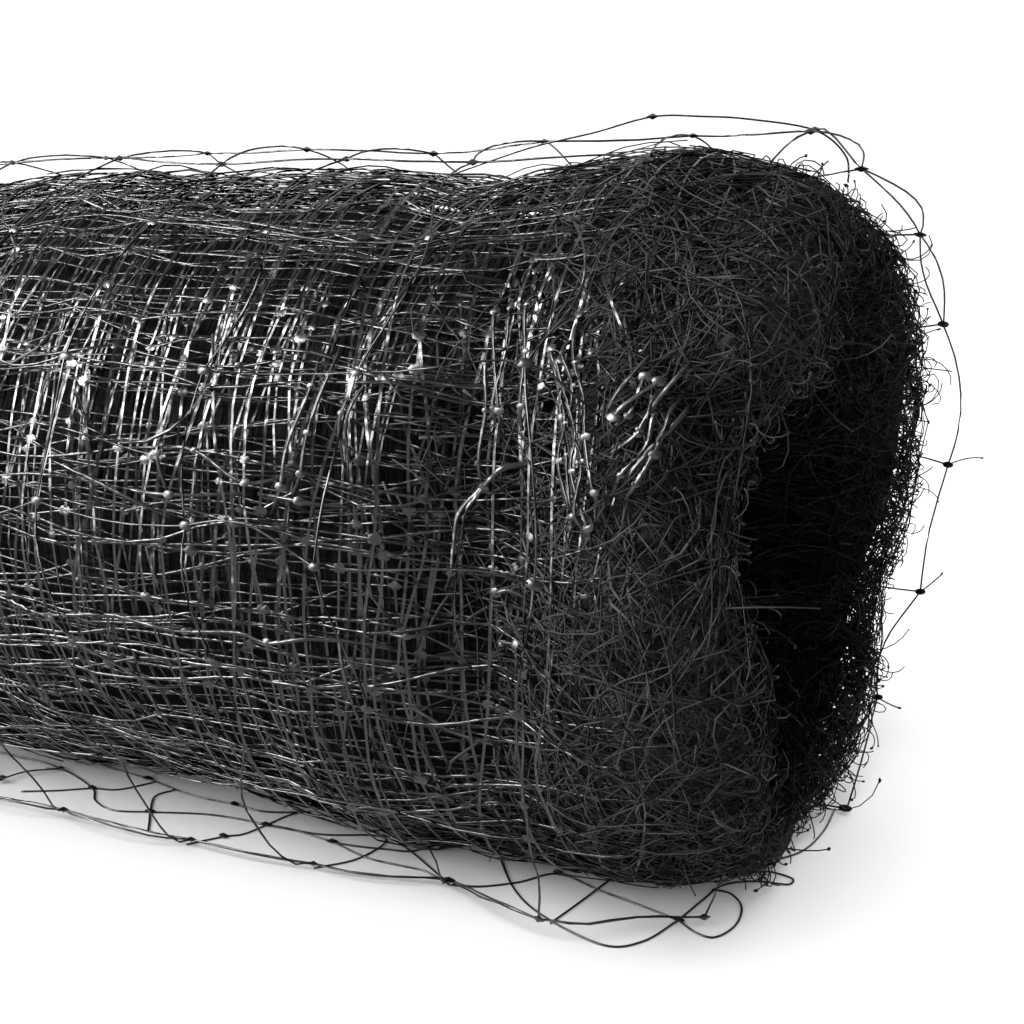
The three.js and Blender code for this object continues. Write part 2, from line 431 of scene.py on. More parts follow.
def add_beads(parts, centres, tangents, normals, sizes, corners):
    """Beads drawn out along their tangents; sizes are half lengths, widths and heights."""
    ring = [(0, math.cos(a), math.sin(a)) for a in 2 * np.pi * np.arange(corners) / corners]
    add_knots(parts, centres, knot_axes(tangents, normals), sizes, ring, [(-1, 0, 0), (1, 0, 0)])


def add_lenses(parts, centres, tangents, normals, sizes, corners):
    """Lenses that lie flat on their normals, with a sharp rim; sizes as for beads."""
    ring = [(math.cos(a), math.sin(a), 0) for a in 2 * np.pi * np.arange(corners) / corners]
    pole = np.full((len(centres), 1), -1 - parts.edge_count)
    rim = np.repeat(np.arange(len(centres))[:, None], corners, axis=1)
    edges = np.concatenate([pole, rim, pole], axis=1)
    add_knots(parts, centres, knot_axes(tangents, normals), sizes, ring, [(0, 0, -1), (0, 0, 1)], edges)


# %% [markdown]
# A net is a grid of knots with a smooth line drawn through them both ways. Between two knots a strand
# is never quite straight, so each gap is bowed to one side, and each ribbon is twisted a little about
# itself, so that neighbours flash in different places.

# %% Lines through knots, laid on a surface
FLOOR_CLEAR = 0.05 * MM
KNOT_TILT = 0.12


def smooth_lines(knots, steps):
    """Lines through knots, an array of lines by knots by numbers, with steps points to each gap."""
    before, after = 2 * knots[:, :1] - knots[:, 1:2], 2 * knots[:, -1:] - knots[:, -2:-1]
    padded = np.concatenate([before, knots, after], axis=1)
    a, b, c, d = padded[:, :-3], padded[:, 1:-2], padded[:, 2:-1], padded[:, 3:]
    pieces = []
    for t in np.arange(steps) / steps:
        cubic = 2 * b + (c - a) * t + (2 * a - 5 * b + 4 * c - d) * t**2 + (3 * b - a - 3 * c + d) * t**3
        pieces.append(cubic / 2)
    lines = np.stack(pieces, axis=2).reshape(len(knots), -1, knots.shape[2])
    return np.concatenate([lines, knots[:, -1:]], axis=1)


def bowed_lines(knots, steps, push):
    """Smooth lines with the gaps between knots bowed by push, an array of lines by gaps by numbers."""
    lines = smooth_lines(knots, steps)
    bow = np.sin(np.pi * np.arange(steps) / steps)
    lines[:, :-1] += (push[:, :, None] * bow[:, None]).reshape(len(lines), -1, lines.shape[2])
    return lines


def twisted(normals, tangents, rng, angle):
    """Normals turned about their strand by a random angle at every point."""
    turn = rng.normal(0, angle, (*normals.shape[:2], 1))
    return np.cos(turn) * normals + np.sin(turn) * np.cross(unit(tangents), normals)


def lay_strands(parts, surface, lines, rng, width, height, twist, flat=False):
    """Ribbons along lines of (along, turn, lift) on a surface, none below the floor."""
    places, normals = surface.place(lines[..., 0], lines[..., 1], lines[..., 2])
    places[..., 2] = np.maximum(places[..., 2], 1.5 * np.maximum(width, height) + FLOOR_CLEAR)
    normals = twisted(normals, np.gradient(places, axis=1), rng, twist)
    add_ribbons(parts, places, normals, width, height, flat)


def lay_knots(parts, surface, knots, rng, sizes, corners):
    """Lenses at places of (along, turn, lift), drawn out along the roll."""
    knots = knots.reshape(-1, 3)
    places, normals = surface.place(knots[:, 0], knots[:, 1], knots[:, 2])
    ahead, _ = surface.place(knots[:, 0] - 2 * MM, knots[:, 1], knots[:, 2])
    places[:, 2] = np.maximum(places[:, 2], sizes[:, 2] + 0.6 * sizes[:, 0] + FLOOR_CLEAR)
    normals = normals + rng.normal(0, KNOT_TILT, normals.shape)
    add_lenses(parts, places, ahead - places, normals, sizes, corners)


# %% [markdown]
# Each turn of the winding is one net laid round the roll and pushed about a little. Turn after turn
# is shifted by the golden ratio of a mesh, so that the strands of all the turns lie about evenly, as
# they do on the real roll, and never quite line up. At the ends nothing holds the net taut, so the
# knots there are pushed about far more. How far strands wander and knots stray is given in
# millimetres.

# %% One wound turn of the net
GOLDEN = (math.sqrt(5) - 1) / 2
ROUND_CELLS = 15
SEAM_TURN = -0.25
FAR_START = 6 * MM
MOUTH_STOP = (-12, 5)
ALONG_WANDER = 1.5
ROUND_WANDER = 1.3
TAUT_STRAY = 0.9
SLACK_STRAY = 5
RIM_THINNING = 0.55
STRAND_HEIGHT = 0.11 * MM
ROUND_HEIGHT = 0.14 * MM
RING_TWIST = math.radians(12)
LENGTH_TWIST = math.radians(18)
CRUMPLE_REACH = 29 * MM
KNOT_SIZE = np.array([0.95, 0.62, 0.2]) * MM


def crumpled(along):
    """How crumpled the net is: 0 on the body, 1 at the rims and in the hollows."""
    at_mouth = eased(along, MOUTH_RIM - CRUMPLE_REACH, MOUTH_RIM - 4 * MM)
    at_far = 1 - eased(along, FAR_RIM + 4 * MM, FAR_RIM + CRUMPLE_REACH)
    return np.maximum(at_mouth, at_far)


def wound_turn(parts, rng, number, depth, steps, corners, width):
    """One turn of the net at a depth under the roll's surface."""
    first = FAR_RIM - FAR_START + (number * GOLDEN % 1) * PITCH
    last = MOUTH_RIM + rng.uniform(*MOUTH_STOP) * MM
    rows = math.floor((last - first) / PITCH)
    shape = (rows + 1, ROUND_CELLS + 1)
    along = first + PITCH * np.arange(rows + 1)[:, None] + np.zeros(shape)
    loose = crumpled(along)
    drift = np.cumsum(rng.normal(0, ALONG_WANDER, shape[1]))
    lean = np.cumsum(rng.normal(0, ROUND_WANDER, rows + 1))[:, None]
    forward = drift - drift.mean() + rng.normal(0, TAUT_STRAY, shape)
    forward = forward + loose * rng.normal(0, SLACK_STRAY, shape)
    sideways = lean - lean.mean() + rng.normal(0, TAUT_STRAY, shape)
    sideways = sideways + loose * rng.normal(0, SLACK_STRAY, shape)
    along = along + forward * MM
    start = SEAM_TURN + (number * GOLDEN**2 % 1) / ROUND_CELLS
    turn = start + np.linspace(0, 1, shape[1]) + sideways * TURN_OF_MM
    lift = -depth + (rng.normal(0, 0.2, shape) + loose * rng.normal(0, 0.9, shape)) * MM
    knots = np.stack([along, turn, np.minimum(lift, 0.3 * MM)], axis=-1)
    ring_push = rng.normal(0, (0.5 * MM, 0.3 * TURN_OF_MM, 0.2 * MM), (rows + 1, ROUND_CELLS, 3))
    long_push = rng.normal(0, (0.3 * MM, 1.2 * TURN_OF_MM, 0.3 * MM), (ROUND_CELLS + 1, rows, 3))
    rings = bowed_lines(knots, steps, ring_push)
    lengths = bowed_lines(knots.transpose(1, 0, 2), steps, long_push)
    for lines, height, twist, flat in (
        (rings, STRAND_HEIGHT, RING_TWIST, True),
        (lengths, ROUND_HEIGHT, LENGTH_TWIST, False),
    ):
        widths = width * (1 - RIM_THINNING * crumpled(lines[..., 0]))
        lay_strands(parts, roll_skin, lines, rng, widths, height, twist, flat)
    thinned = 1 - RIM_THINNING * loose.reshape(-1, 1)
    sizes = KNOT_SIZE * rng.uniform(0.8, 1.15, (along.size, 1)) * thinned
    lay_knots(parts, roll_skin, knots, rng, sizes, corners)


# %% [markdown]
# Twenty-five turns are enough before the eye meets only black. The outer ones have the most points
# and full knots, and the deeper ones get by with less, which leaves faces for the frayed ends. They
# make three pieces, so that none grows too heavy.

# %% The turns that show, from the outside in
TURN_DEPTH = 0.2 * MM
PROUD = 0.4 * MM
TURN_ROWS = [
    # name, turns, steps to a gap, corners of a knot, half width of a strand
    ("outer_turns", 6, 4, 8, 0.19 * MM),
    ("middle_turns", 8, 3, 6, 0.17 * MM),
    ("inner_turns", 11, 2, 4, 0.15 * MM),
]
turn_pieces = []
turns_laid = 0
for name, turns, steps, corners, width in TURN_ROWS:
    parts = Parts()
    rng = np.random.default_rng(410 + turns_laid)
    for number in range(turns_laid, turns_laid + turns):
        wound_turn(parts, rng, number, number * TURN_DEPTH - PROUD, steps, corners, width)
    turns_laid += turns
    turn_pieces.append(make_piece(name, parts))

# %% [markdown]
# Under the turns that show lie many more, too deep to tell apart. They are one closed dark body just
# below, made from the same surface, so that the gaps look into shadow and not right through the roll.
# Low at the back of the rims it lies deeper, and daylight shows between the outermost strands.

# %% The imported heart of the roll
HEART_DEPTH = 5.4 * MM
RIM_ROWS = [
    # degrees round from the back, how deep the heart lies under the rim in mm
    (-180, 2.5), (-85, 2.5), (-60, 6.5), (-5, 5), (25, 3.5), (70, 2.8), (180, 2.5),
]


def packed_heart():
    """A closed body a little way under the worn surface."""
    rows, columns = roll_skin.points.shape[0], COLUMNS // 2
    along = np.repeat(roll_skin.along[:, None], columns, axis=1)
    turn = np.repeat((np.arange(columns) / columns)[None], rows, axis=0)
    depth = HEART_DEPTH + (read_rows(RIM_ROWS, degrees_round(turn)) * MM - HEART_DEPTH) * crumpled(along)
    places, _ = roll_skin.place(along, turn, -depth)
    number = np.arange(rows * columns).reshape(rows, columns)
    there = np.roll(number, -1, axis=0)
    faces = np.stack([number, np.roll(number, -1, 1), np.roll(there, -1, 1), there], axis=-1).reshape(-1, 4)
    u, v = np.meshgrid(np.arange(columns) / columns, np.arange(rows) / rows)
    right, up = u + 1 / columns, v + 1 / rows
    maps = np.stack([u, v, right, v, right, up, u, up], axis=-1).reshape(-1, 4, 2)
    parts = Parts()
    parts.add(places, faces, maps, 1)
    return make_piece("packed_heart", parts)


heart = packed_heart()

# %% [markdown]
# At the mouth the net has frayed. Loose bits lie across one another like felt, at every angle, and
# hide which way the net once ran. Each bit is a short line that starts on the surface with a heading
# of its own and curls as it goes. Cloth or hair would give less hold on where the bits lie.

# %% Loose bits that lie on the surface like felt
BIT_POINTS = 10
BIT_WIDTH = 0.09 * MM
BIT_HEIGHT = 0.9 * BIT_WIDTH
BIT_LENGTH = (14 * MM, 42 * MM)
BIT_CURL = (2.6, 3.4)
BIT_TWIST = math.radians(40)


def felt(parts, rng, count, reach, lift, width):
    """Curled strands at every angle on the surface, most of them in the middle of a reach along it."""
    start, spot = rng.triangular(*reach, count), rng.uniform(0, 1, count)
    heading = rng.uniform(0, 2 * np.pi, (count, 1))
    t = np.linspace(-0.5, 0.5, BIT_POINTS)
    bend, curl = (rng.normal(0, spread, (count, 1)) for spread in BIT_CURL)
    angle = heading + bend * t + curl * t**2
    step = rng.uniform(*BIT_LENGTH, (count, 1)) / (BIT_POINTS - 1)
    along = start[:, None] + np.cumsum(np.cos(angle), axis=1) * step
    turn = spot[:, None] + np.cumsum(np.sin(angle), axis=1) * step / MM * TURN_OF_MM
    wave = rng.normal(0, 0.5, (count, 1)) * np.sin(4 * t + heading) * MM
    lines = np.stack([along, turn, wave + rng.uniform(*lift, (count, 1))], axis=-1)
    lay_strands(parts, roll_skin, lines, rng, width, BIT_HEIGHT, BIT_TWIST)


# %% [markdown]
# The felt is laid in three layers. The bits underneath are broad, to close the gaps, and the ones on
# top are fine. Those in the hollows are a piece of their own, because they are painted darker, as
# painted shade inside the hollows. A reach gives where along the surface the bits start, where most
# of them lie and where they stop.

# %% Felt on both rims and in both hollows
UNDER_WIDTH = 0.2 * MM
UNDER_LIFT = (-2.5 * MM, -1 * MM)
BIT_LIFT = (-1.5 * MM, 0.6 * MM)
MOUTH_FELT = (MOUTH_RIM - 31 * MM, MOUTH_RIM - 4 * MM, MOUTH_RIM + 11 * MM)
FAR_FELT = (FAR_RIM - 11 * MM, FAR_RIM + 4 * MM, FAR_RIM + 31 * MM)
MOUTH_HOLLOW = (MOUTH_RIM + 8 * MM, MOUTH_RIM + 14 * MM, MOUTH_RIM + 36 * MM)
FAR_HOLLOW = (FAR_RIM - 36 * MM, FAR_RIM - 14 * MM, FAR_RIM - 8 * MM)
FELT_ROWS = [
    # name, bits and reach at the mouth, bits and reach at the far end, lift, half width
    ("under_felt", 1150, MOUTH_FELT, 230, FAR_FELT, UNDER_LIFT, UNDER_WIDTH),
    ("rim_felt", 1500, MOUTH_FELT, 430, FAR_FELT, BIT_LIFT, BIT_WIDTH),
    ("hollow_felt", 650, MOUTH_HOLLOW, 220, FAR_HOLLOW, BIT_LIFT, BIT_WIDTH),
]
felt_pieces = []
rng = np.random.default_rng(77)
for name, at_mouth, mouth_reach, at_far, far_reach, lift, width in FELT_ROWS:
    parts = Parts()
    felt(parts, rng, at_mouth, mouth_reach, lift, width)
    felt(parts, rng, at_far, far_reach, lift, width)
    felt_pieces.append(make_piece(name, parts))
under_felt, rim_felt, hollow_felt = felt_pieces

# %% [markdown]
# A few strands have pulled free and lie across the turns. The ones in front that catch the eye are
# listed one by one, singly or in bundles, and more are strewn over the rest of the body.

# %% Stray strands
STRAY_WIDTH = 0.24 * MM
STRAY_HEIGHT = 0.7 * STRAY_WIDTH
STRAY_TWIST = math.radians(20)
STRAY_STEPS = 6
STRAY_LIFT = (0.8 * MM, 1.3 * MM)
STRAY_KNOT = np.array([0.6, 0.42, 0.26]) * MM
STRAY_ROOT = -1.6 * MM
KNOT_CORNERS = 8
KNOTTED = 0.6
STREWN = 70
STRAY_ROWS = [
    # how many lie together, how far apart in mm, and their knots: mm back from the mouth, degrees round
    (1, 0, [(92, 168), (80, 172), (72, 176)]),
    (1, 0, [(76, 165), (68, 165), (60, 169), (54, 167)]),
    (1, 0, [(74, 161), (73, 166), (73, 172)]),
    (2, 0.7, [(56, 175), (54, 170), (53, 164), (52, 155), (53, 149)]),
    (1, 0, [(60, 171), (53, 171), (47, 172)]),
    (1, 0, [(80, 172), (71, 172), (61, 171)]),
    (2, 0.8, [(48, 167), (47, 159), (45, 150)]),
    (2, 0.3, [(36, 184), (35.5, 180), (35, 175), (34, 170), (31.5, 166), (28, 163), (25, 162)]),
    (1, 0, [
        (104, 191.5), (96, 192.5), (91, 193.5), (88, 196.5), (85, 199), (81, 202), (77, 204), (74, 206),
    ]),
    (1, 0, [
        (104, 197), (91, 193), (82, 192), (77, 192.5), (70, 193.5), (62, 193), (58, 194), (52, 193),
        (42, 194),
    ]),
    (1, 0, [(108, 211), (98, 215), (90, 217), (80, 218.5), (74, 219)]),
    (1, 0, [(50, 190), (48, 198), (48, 209)]),
    (1, 0, [(33, 184), (29, 183), (26, 182), (24, 184)]),
    (1, 0, [(31, 193), (28, 191), (25, 190), (22, 192)]),
    (1, 0, [(44, 191), (40, 191), (36, 190)]),
    (5, 0.9, [(12, 165), (10.5, 162), (8.5, 158), (7, 154), (6, 151)]),
    (4, 1.3, [(15, 162), (13, 158), (11, 153), (10, 150)]),
    (5, 1.2, [(22.5, 142), (21, 146), (19.5, 151), (18, 156), (17, 161), (15.5, 168), (15, 171)]),
    (4, 1.4, [(32.5, 137), (32, 141), (31, 148), (31, 156), (32, 161)]),
]
BODY_REACH = (FAR_RIM + 30 * MM, (FAR_RIM + MOUTH_RIM) / 2, MOUTH_RIM - 30 * MM)


def stray_bundle(parts, rng, count, apart, knots):
    """Strands side by side through given knots, with both ends under the turns."""
    back, degrees = np.array(knots, float).T
    shape = (count, len(knots))
    along = MOUTH_RIM - (back + rng.normal(0, apart, (count, 1)) + rng.normal(0, 0.6 * apart, shape)) * MM
    turn = degrees / 360 + rng.normal(0, 1.6 * apart, (count, 1)) * TURN_OF_MM
    grid = np.stack([along, turn + 0 * along, rng.uniform(*STRAY_LIFT, shape)], axis=-1)
    grid[:, [0, -1], 2] = STRAY_ROOT
    lines = smooth_lines(grid, STRAY_STEPS)
    lay_strands(parts, roll_skin, lines, rng, STRAY_WIDTH, STRAY_HEIGHT, STRAY_TWIST)
    knotted = grid[(rng.random(shape) < KNOTTED) & (grid[..., 2] > 0)]
    sizes = STRAY_KNOT * rng.uniform(0.7, 1.4, (len(knotted), 1))
    if len(knotted):
        lay_knots(parts, roll_skin, knotted, rng, sizes, KNOT_CORNERS)


parts = Parts()
rng = np.random.default_rng(63)
for count, apart, knots in STRAY_ROWS:
    stray_bundle(parts, rng, count, apart, knots)
felt(parts, rng, STREWN, BODY_REACH, STRAY_LIFT, STRAY_WIDTH)
stray_strands = make_piece("stray_strands", parts)

# %% [markdown]
# Some strands of the cut edge still follow the rim for a short way. They wander back and forth, so
# that the rim reads as wound and not as a basket.

# %% Strands that run round the rims
ROUND_POINTS = 9
ROUND_SHARE = (0.04, 0.14)
ROUND_TWIST = math.radians(30)


def rim_strands(parts, rng, count, middle):
    """Strands that follow a rim for part of the way round."""
    start, spot = middle + rng.normal(3, 8, count) * MM, rng.uniform(0, 1, count)
    t = np.linspace(0, 1, ROUND_POINTS)
    drift = rng.normal(0, 7, (count, 1)) * t + rng.normal(0, 2, (count, 1)) * np.sin(2 * np.pi * t)
    along = start[:, None] + drift * MM
    turn = spot[:, None] + rng.uniform(*ROUND_SHARE, (count, 1)) * t
    lift = (rng.uniform(-2, 0.2, (count, 1)) + rng.normal(0, 0.25, (count, ROUND_POINTS))) * MM
    lines = np.stack([along, turn, lift], axis=-1)
    lay_strands(parts, roll_skin, lines, rng, BIT_WIDTH, BIT_HEIGHT, ROUND_TWIST)


parts = Parts()
rng = np.random.default_rng(52)
rim_strands(parts, rng, 420, MOUTH_RIM)
rim_strands(parts, rng, 240, FAR_RIM)
rim_rings = make_piece("rim_rings", parts)

# %% [markdown]
# The cut left short ends all round the rim. They stand in clusters, where a knot held them together,
# and most are curled right over. Some carry a half knot on the tip. An end starts under the surface,
# leaves it on a heading of its own and curls towards one side.

# %% Hooked ends
END_POINTS = 7
TIP_SIZE = np.array([0.4, 0.28, 0.24]) * MM
TIP_CORNERS = 4


def hooked_ends(parts, rng, base, way, reach, curl, width, share):
    """Ends that leave base along way and bend sideways by curl; a share is tipped with a half knot."""
    count = len(base)
    bend = unit(np.cross(way, rng.normal(0, 1, (count, 3))))
    angle = (curl[:, None] * np.linspace(0, 1, END_POINTS) ** 1.3)[..., None]
    headings = np.cos(angle) * way[:, None] + np.sin(angle) * bend[:, None]
    travel = np.cumsum(headings, axis=1) - headings
    places = base[:, None] + travel * (reach / (END_POINTS - 1))[:, None, None]
    places[..., 2] = np.maximum(places[..., 2], 1.5 * width + FLOOR_CLEAR)
    faces_up = unit(np.cross(headings, np.cross(way, bend)[:, None]))
    add_ribbons(parts, places, faces_up, width, 0.85 * width)
    tipped = rng.random(count) < share
    sizes = TIP_SIZE * rng.uniform(0.75, 1.2, (tipped.sum(), 1))
    tips = places[tipped, -1]
    tips[:, 2] = np.maximum(tips[:, 2], 1.5 * sizes[:, 0] + FLOOR_CLEAR)
    add_beads(parts, tips, headings[tipped, -1], faces_up[tipped, -1], sizes, TIP_CORNERS)


# %% [markdown]
# Most of the ends at a rim lean along it and droop, and the rest stand straight out. A cluster shares
# a spot on the rim, and its ends spread from there.

# %% Cut ends at both rims
IN_CLUSTER = 8
DROOP = np.array([0, 0, -0.35])
END_LENGTH = 2.6 * MM
END_CURL = (1.2, 5)
TIPPED = 0.3
END_ROWS = [
    # name, clusters at the mouth and at the far end, where they start and stop in mm from the rim inward
    ("rim_ends", 180, 90, -5, 12),
    ("hollow_ends", 60, 30, 12, 36),
]


def cut_ends(parts, rng, clusters, low, high, outward):
    """Clusters of hooked ends on a stretch of the surface."""
    count = clusters * IN_CLUSTER
    along = np.repeat(rng.uniform(low, high, clusters), IN_CLUSTER) + rng.normal(0, 1.6, count) * MM
    turn = np.repeat(rng.uniform(0, 1, clusters), IN_CLUSTER) + rng.normal(0, 2.2, count) * TURN_OF_MM
    base, normal = roll_skin.place(along, turn, rng.uniform(-1.6, -0.2, count) * MM)
    round_way = np.stack([0 * turn, -np.sin(2 * np.pi * turn), np.cos(2 * np.pi * turn)], axis=-1)
    side = rng.normal(0, 0.8, (count, 1))
    way = np.array([0.35 * outward, 0, 0]) + 0.6 * normal + side * round_way + DROOP
    way = unit(way + rng.normal(0, 0.3, (count, 3)))
    reach = 2 * MM + rng.gamma(2.0, END_LENGTH / 2, count)
    hooked_ends(parts, rng, base, way, reach, rng.uniform(*END_CURL, count), BIT_WIDTH, TIPPED)


end_pieces = []
rng = np.random.default_rng(31)
for name, at_mouth, at_far, start, stop in END_ROWS:
    parts = Parts()
    cut_ends(parts, rng, at_mouth, MOUTH_RIM + start * MM, MOUTH_RIM + stop * MM, 1)
    cut_ends(parts, rng, at_far, FAR_RIM - stop * MM, FAR_RIM - start * MM, -1)
    end_pieces.append(make_piece(name, parts))
rim_ends, hollow_ends = end_pieces

# %% [markdown]
# The outermost turn has sprung loose. It stands off the body, reaches past both ends and comes down
# in front, where it is tucked under the roll on the floor. Its path round the roll is a short table
# of how far it stands off at each angle, as the solid has it, and a second one for the stretch on the
# floor. Near the mouth that stretch is tucked further under.

# %% The path of the loose turn
COVER_RADIUS = 50.3 * MM
OVERHANG = 8 * MM
SPARE = 12 * MM
SLACK_ROWS = [
    # degrees round from the back, how far the net stands off in mm
    (-66, 0), (-35, 0.5), (0, 1.2), (45, 1.2), (90, 0.6), (135, 1.2), (180, 2.4), (212, 2.6),
]
FLOOR_ROWS = [
    # mm in front of the axis, mm over the floor
    (40.5, 7.5), (36.5, 1.5), (32, 0), (25.5, 0), (19, 0),
]
RISE_ROWS = [
    # mm back from the mouth, how much further the net stands off in mm
    (-8, -1.2), (2, 0.6), (25, 1.8), (48, 0.2), (85, 0.9), (115, 2), (160, 2), (220, 0.6), (330, 0.2),
    (430, 0.6), (508, 0),
]
TUCK_ROWS = [
    # mm back from the mouth, how far the net is tucked under in mm
    (0, 17), (14, 11), (24, 1), (34, 3.5), (44, 6), (63, 2), (85, 0),
]
LOOSE_STATION = 6 * MM
PATH_STEPS = 24
PATH_POINTS = 160
NET_HALF = 0.5 * MM


def loose_surface():
    """The surface that the loose turn's net lies on."""
    stations = np.arange(FAR_X - OVERHANG - SPARE, MOUTH_X + OVERHANG + SPARE, LOOSE_STATION)
    rows = []
    for x in stations:
        rise = read_rows(RISE_ROWS, (MOUTH_X - x) / MM)
        points = []
        for number, (angle, slack) in enumerate(SLACK_ROWS):
            radius = COVER_RADIUS + (slack + (rise if number else 0)) * MM
            turn = math.radians(angle)
            points.append((x, AXIS_Y + radius * math.cos(turn), AXIS_Z + radius * math.sin(turn)))
        tuck = read_rows(TUCK_ROWS, (MOUTH_X - x) / MM)
        for out, height in FLOOR_ROWS:
            points.append((x, AXIS_Y - (out - tuck) * MM, height * MM + NET_HALF))
        fine = smooth_lines(np.array(points)[None], PATH_STEPS)[0]
        length = np.concatenate([[0], np.cumsum(np.linalg.norm(np.diff(fine, axis=0), axis=1))])
        even = np.linspace(0, length[-1], PATH_POINTS)
        rows.append(np.stack([np.interp(even, length, fine[:, k]) for k in range(3)], axis=-1))
    return Surface(np.array(rows), stations, closed=False)


loose_skin = loose_surface()
LOOSE_LENGTH = np.linalg.norm(np.diff(loose_skin.points, axis=1), axis=2).sum(axis=1).mean()
LOOSE_MM = MM / LOOSE_LENGTH
print(f"loose turn: {LOOSE_LENGTH / MM:.0f} mm round")

# %% [markdown]
# The knots of the loose turn are a mesh apart all the way down to the floor, where two more rows lie
# crowded together. Its edge at the mouth is drawn back unevenly, which a table gives by the share of
# the way from its root behind the roll to its end on the floor. Two more tables give how far the net
# stands off its path, and how far it sinks under the frayed lip at the mouth.

# %% The loose turn's knots
FLOOR_EDGE = 0.95
SET_BACK = 12.5 * MM
EDGE_ROWS = [
    # share of the way round, how far the edge is drawn back in mm
    (0, -1), (0.07, -4.5), (0.14, -4), (0.21, -8.5), (0.26, -7), (0.35, -7), (0.41, 0), (0.48, 4),
    (0.54, 1), (0.75, -4.5), (0.93, 6), (1, 14),
]
EDGE_RUN = 30 * MM
LIFT_ROWS = [
    # share of the way round, how far the net stands off its path in mm
    (0, -0.6), (0.45, -0.7), (0.6, -1.4), (0.85, -1.2), (1, -0.3),
]
SINK_ROWS = [
    # share of the way round, how far the net sinks at the mouth in mm
    (0.28, 0), (0.34, -1), (0.41, 1.2), (0.48, 0.4), (0.54, 10), (0.62, 13),
    (0.75, 12), (0.9, 9), (0.94, 0),
]


def loose_knots(rng):
    """The grid of knots, and the last row of it before the crowded ones."""
    gaps = round(FLOOR_EDGE * LOOSE_LENGTH / PITCH)
    shares = np.concatenate([np.linspace(0, FLOOR_EDGE, gaps + 1), [(1 + FLOOR_EDGE) / 2, 1]])
    far, near = FAR_X - OVERHANG, MOUTH_X + OVERHANG - SET_BACK
    shape = (round((near - far) / PITCH) + 1, len(shares))
    stray = np.where(shares > FLOOR_EDGE, 4.0, 1.5)
    along = np.linspace(far, near, shape[0])[:, None] + rng.normal(0, 1, shape) * stray * MM
    turn = shares + rng.normal(0, 1.3, shape) * LOOSE_MM
    along = along - read_rows(EDGE_ROWS, turn) * MM * eased(along, near - EDGE_RUN, near)
    lift = read_rows(LIFT_ROWS, turn) + rng.normal(0, 0.35, shape)
    lift = lift - read_rows(SINK_ROWS, turn) * eased(along, MOUTH_X - EDGE_RUN, MOUTH_X - 8 * MM)
    return np.stack([along, turn, lift * MM], axis=-1), gaps


loose_grid, FLOOR_ROW = loose_knots(np.random.default_rng(5))
print("loose turn:", loose_grid.shape[0], "knots along,", loose_grid.shape[1], "round")

# %% [markdown]
# The edges of the loose turn are doubled in places: a second strand runs along them and stands away
# in small loops. A few cut stubs with a knob on the end are left, too. Both lie on the same surface
# as the net, so the ribbons and the hooked ends of the steps before serve for them.

# %% Loops and stubs at the loose turn's edges
LOOSE_STEPS = 8
LOOSE_WIDTH = 0.15 * MM
LOOSE_HEIGHT = 0.13 * MM
LOOSE_TWIST = math.radians(40)
LOOP_REACH = (0.5, 3.4)
STUB_SHARE = 0.7
STUB_LENGTH = (2.5, 5.5)
STUB_CURL = (0, 0.7)
STUB_WIDTH = 0.85 * LOOSE_WIDTH
KNOBBED = 0.9


def edge_loops(parts, rng, knots, outward):
    """A second strand along an edge, bowed outward between the knots."""
    push = np.array(outward) * rng.uniform(*LOOP_REACH, (1, len(knots) - 1, 1))
    lines = bowed_lines(knots[None], LOOSE_STEPS, push)
    lay_strands(parts, loose_skin, lines, rng, LOOSE_WIDTH, LOOSE_HEIGHT, LOOSE_TWIST)


def edge_stubs(parts, rng, knots, outward):
    """Cut stubs at some knots of an edge."""
    knots = knots[rng.random(len(knots)) < STUB_SHARE]
    base, normal = loose_skin.place(knots[:, 0], knots[:, 1], knots[:, 2])
    way = unit(np.array(outward) + 0.2 * normal + rng.normal(0, 0.45, base.shape))
    reach = rng.uniform(*STUB_LENGTH, len(base)) * MM
    curl = rng.uniform(*STUB_CURL, len(base))
    hooked_ends(parts, rng, base, way, reach, curl, STUB_WIDTH, KNOBBED)
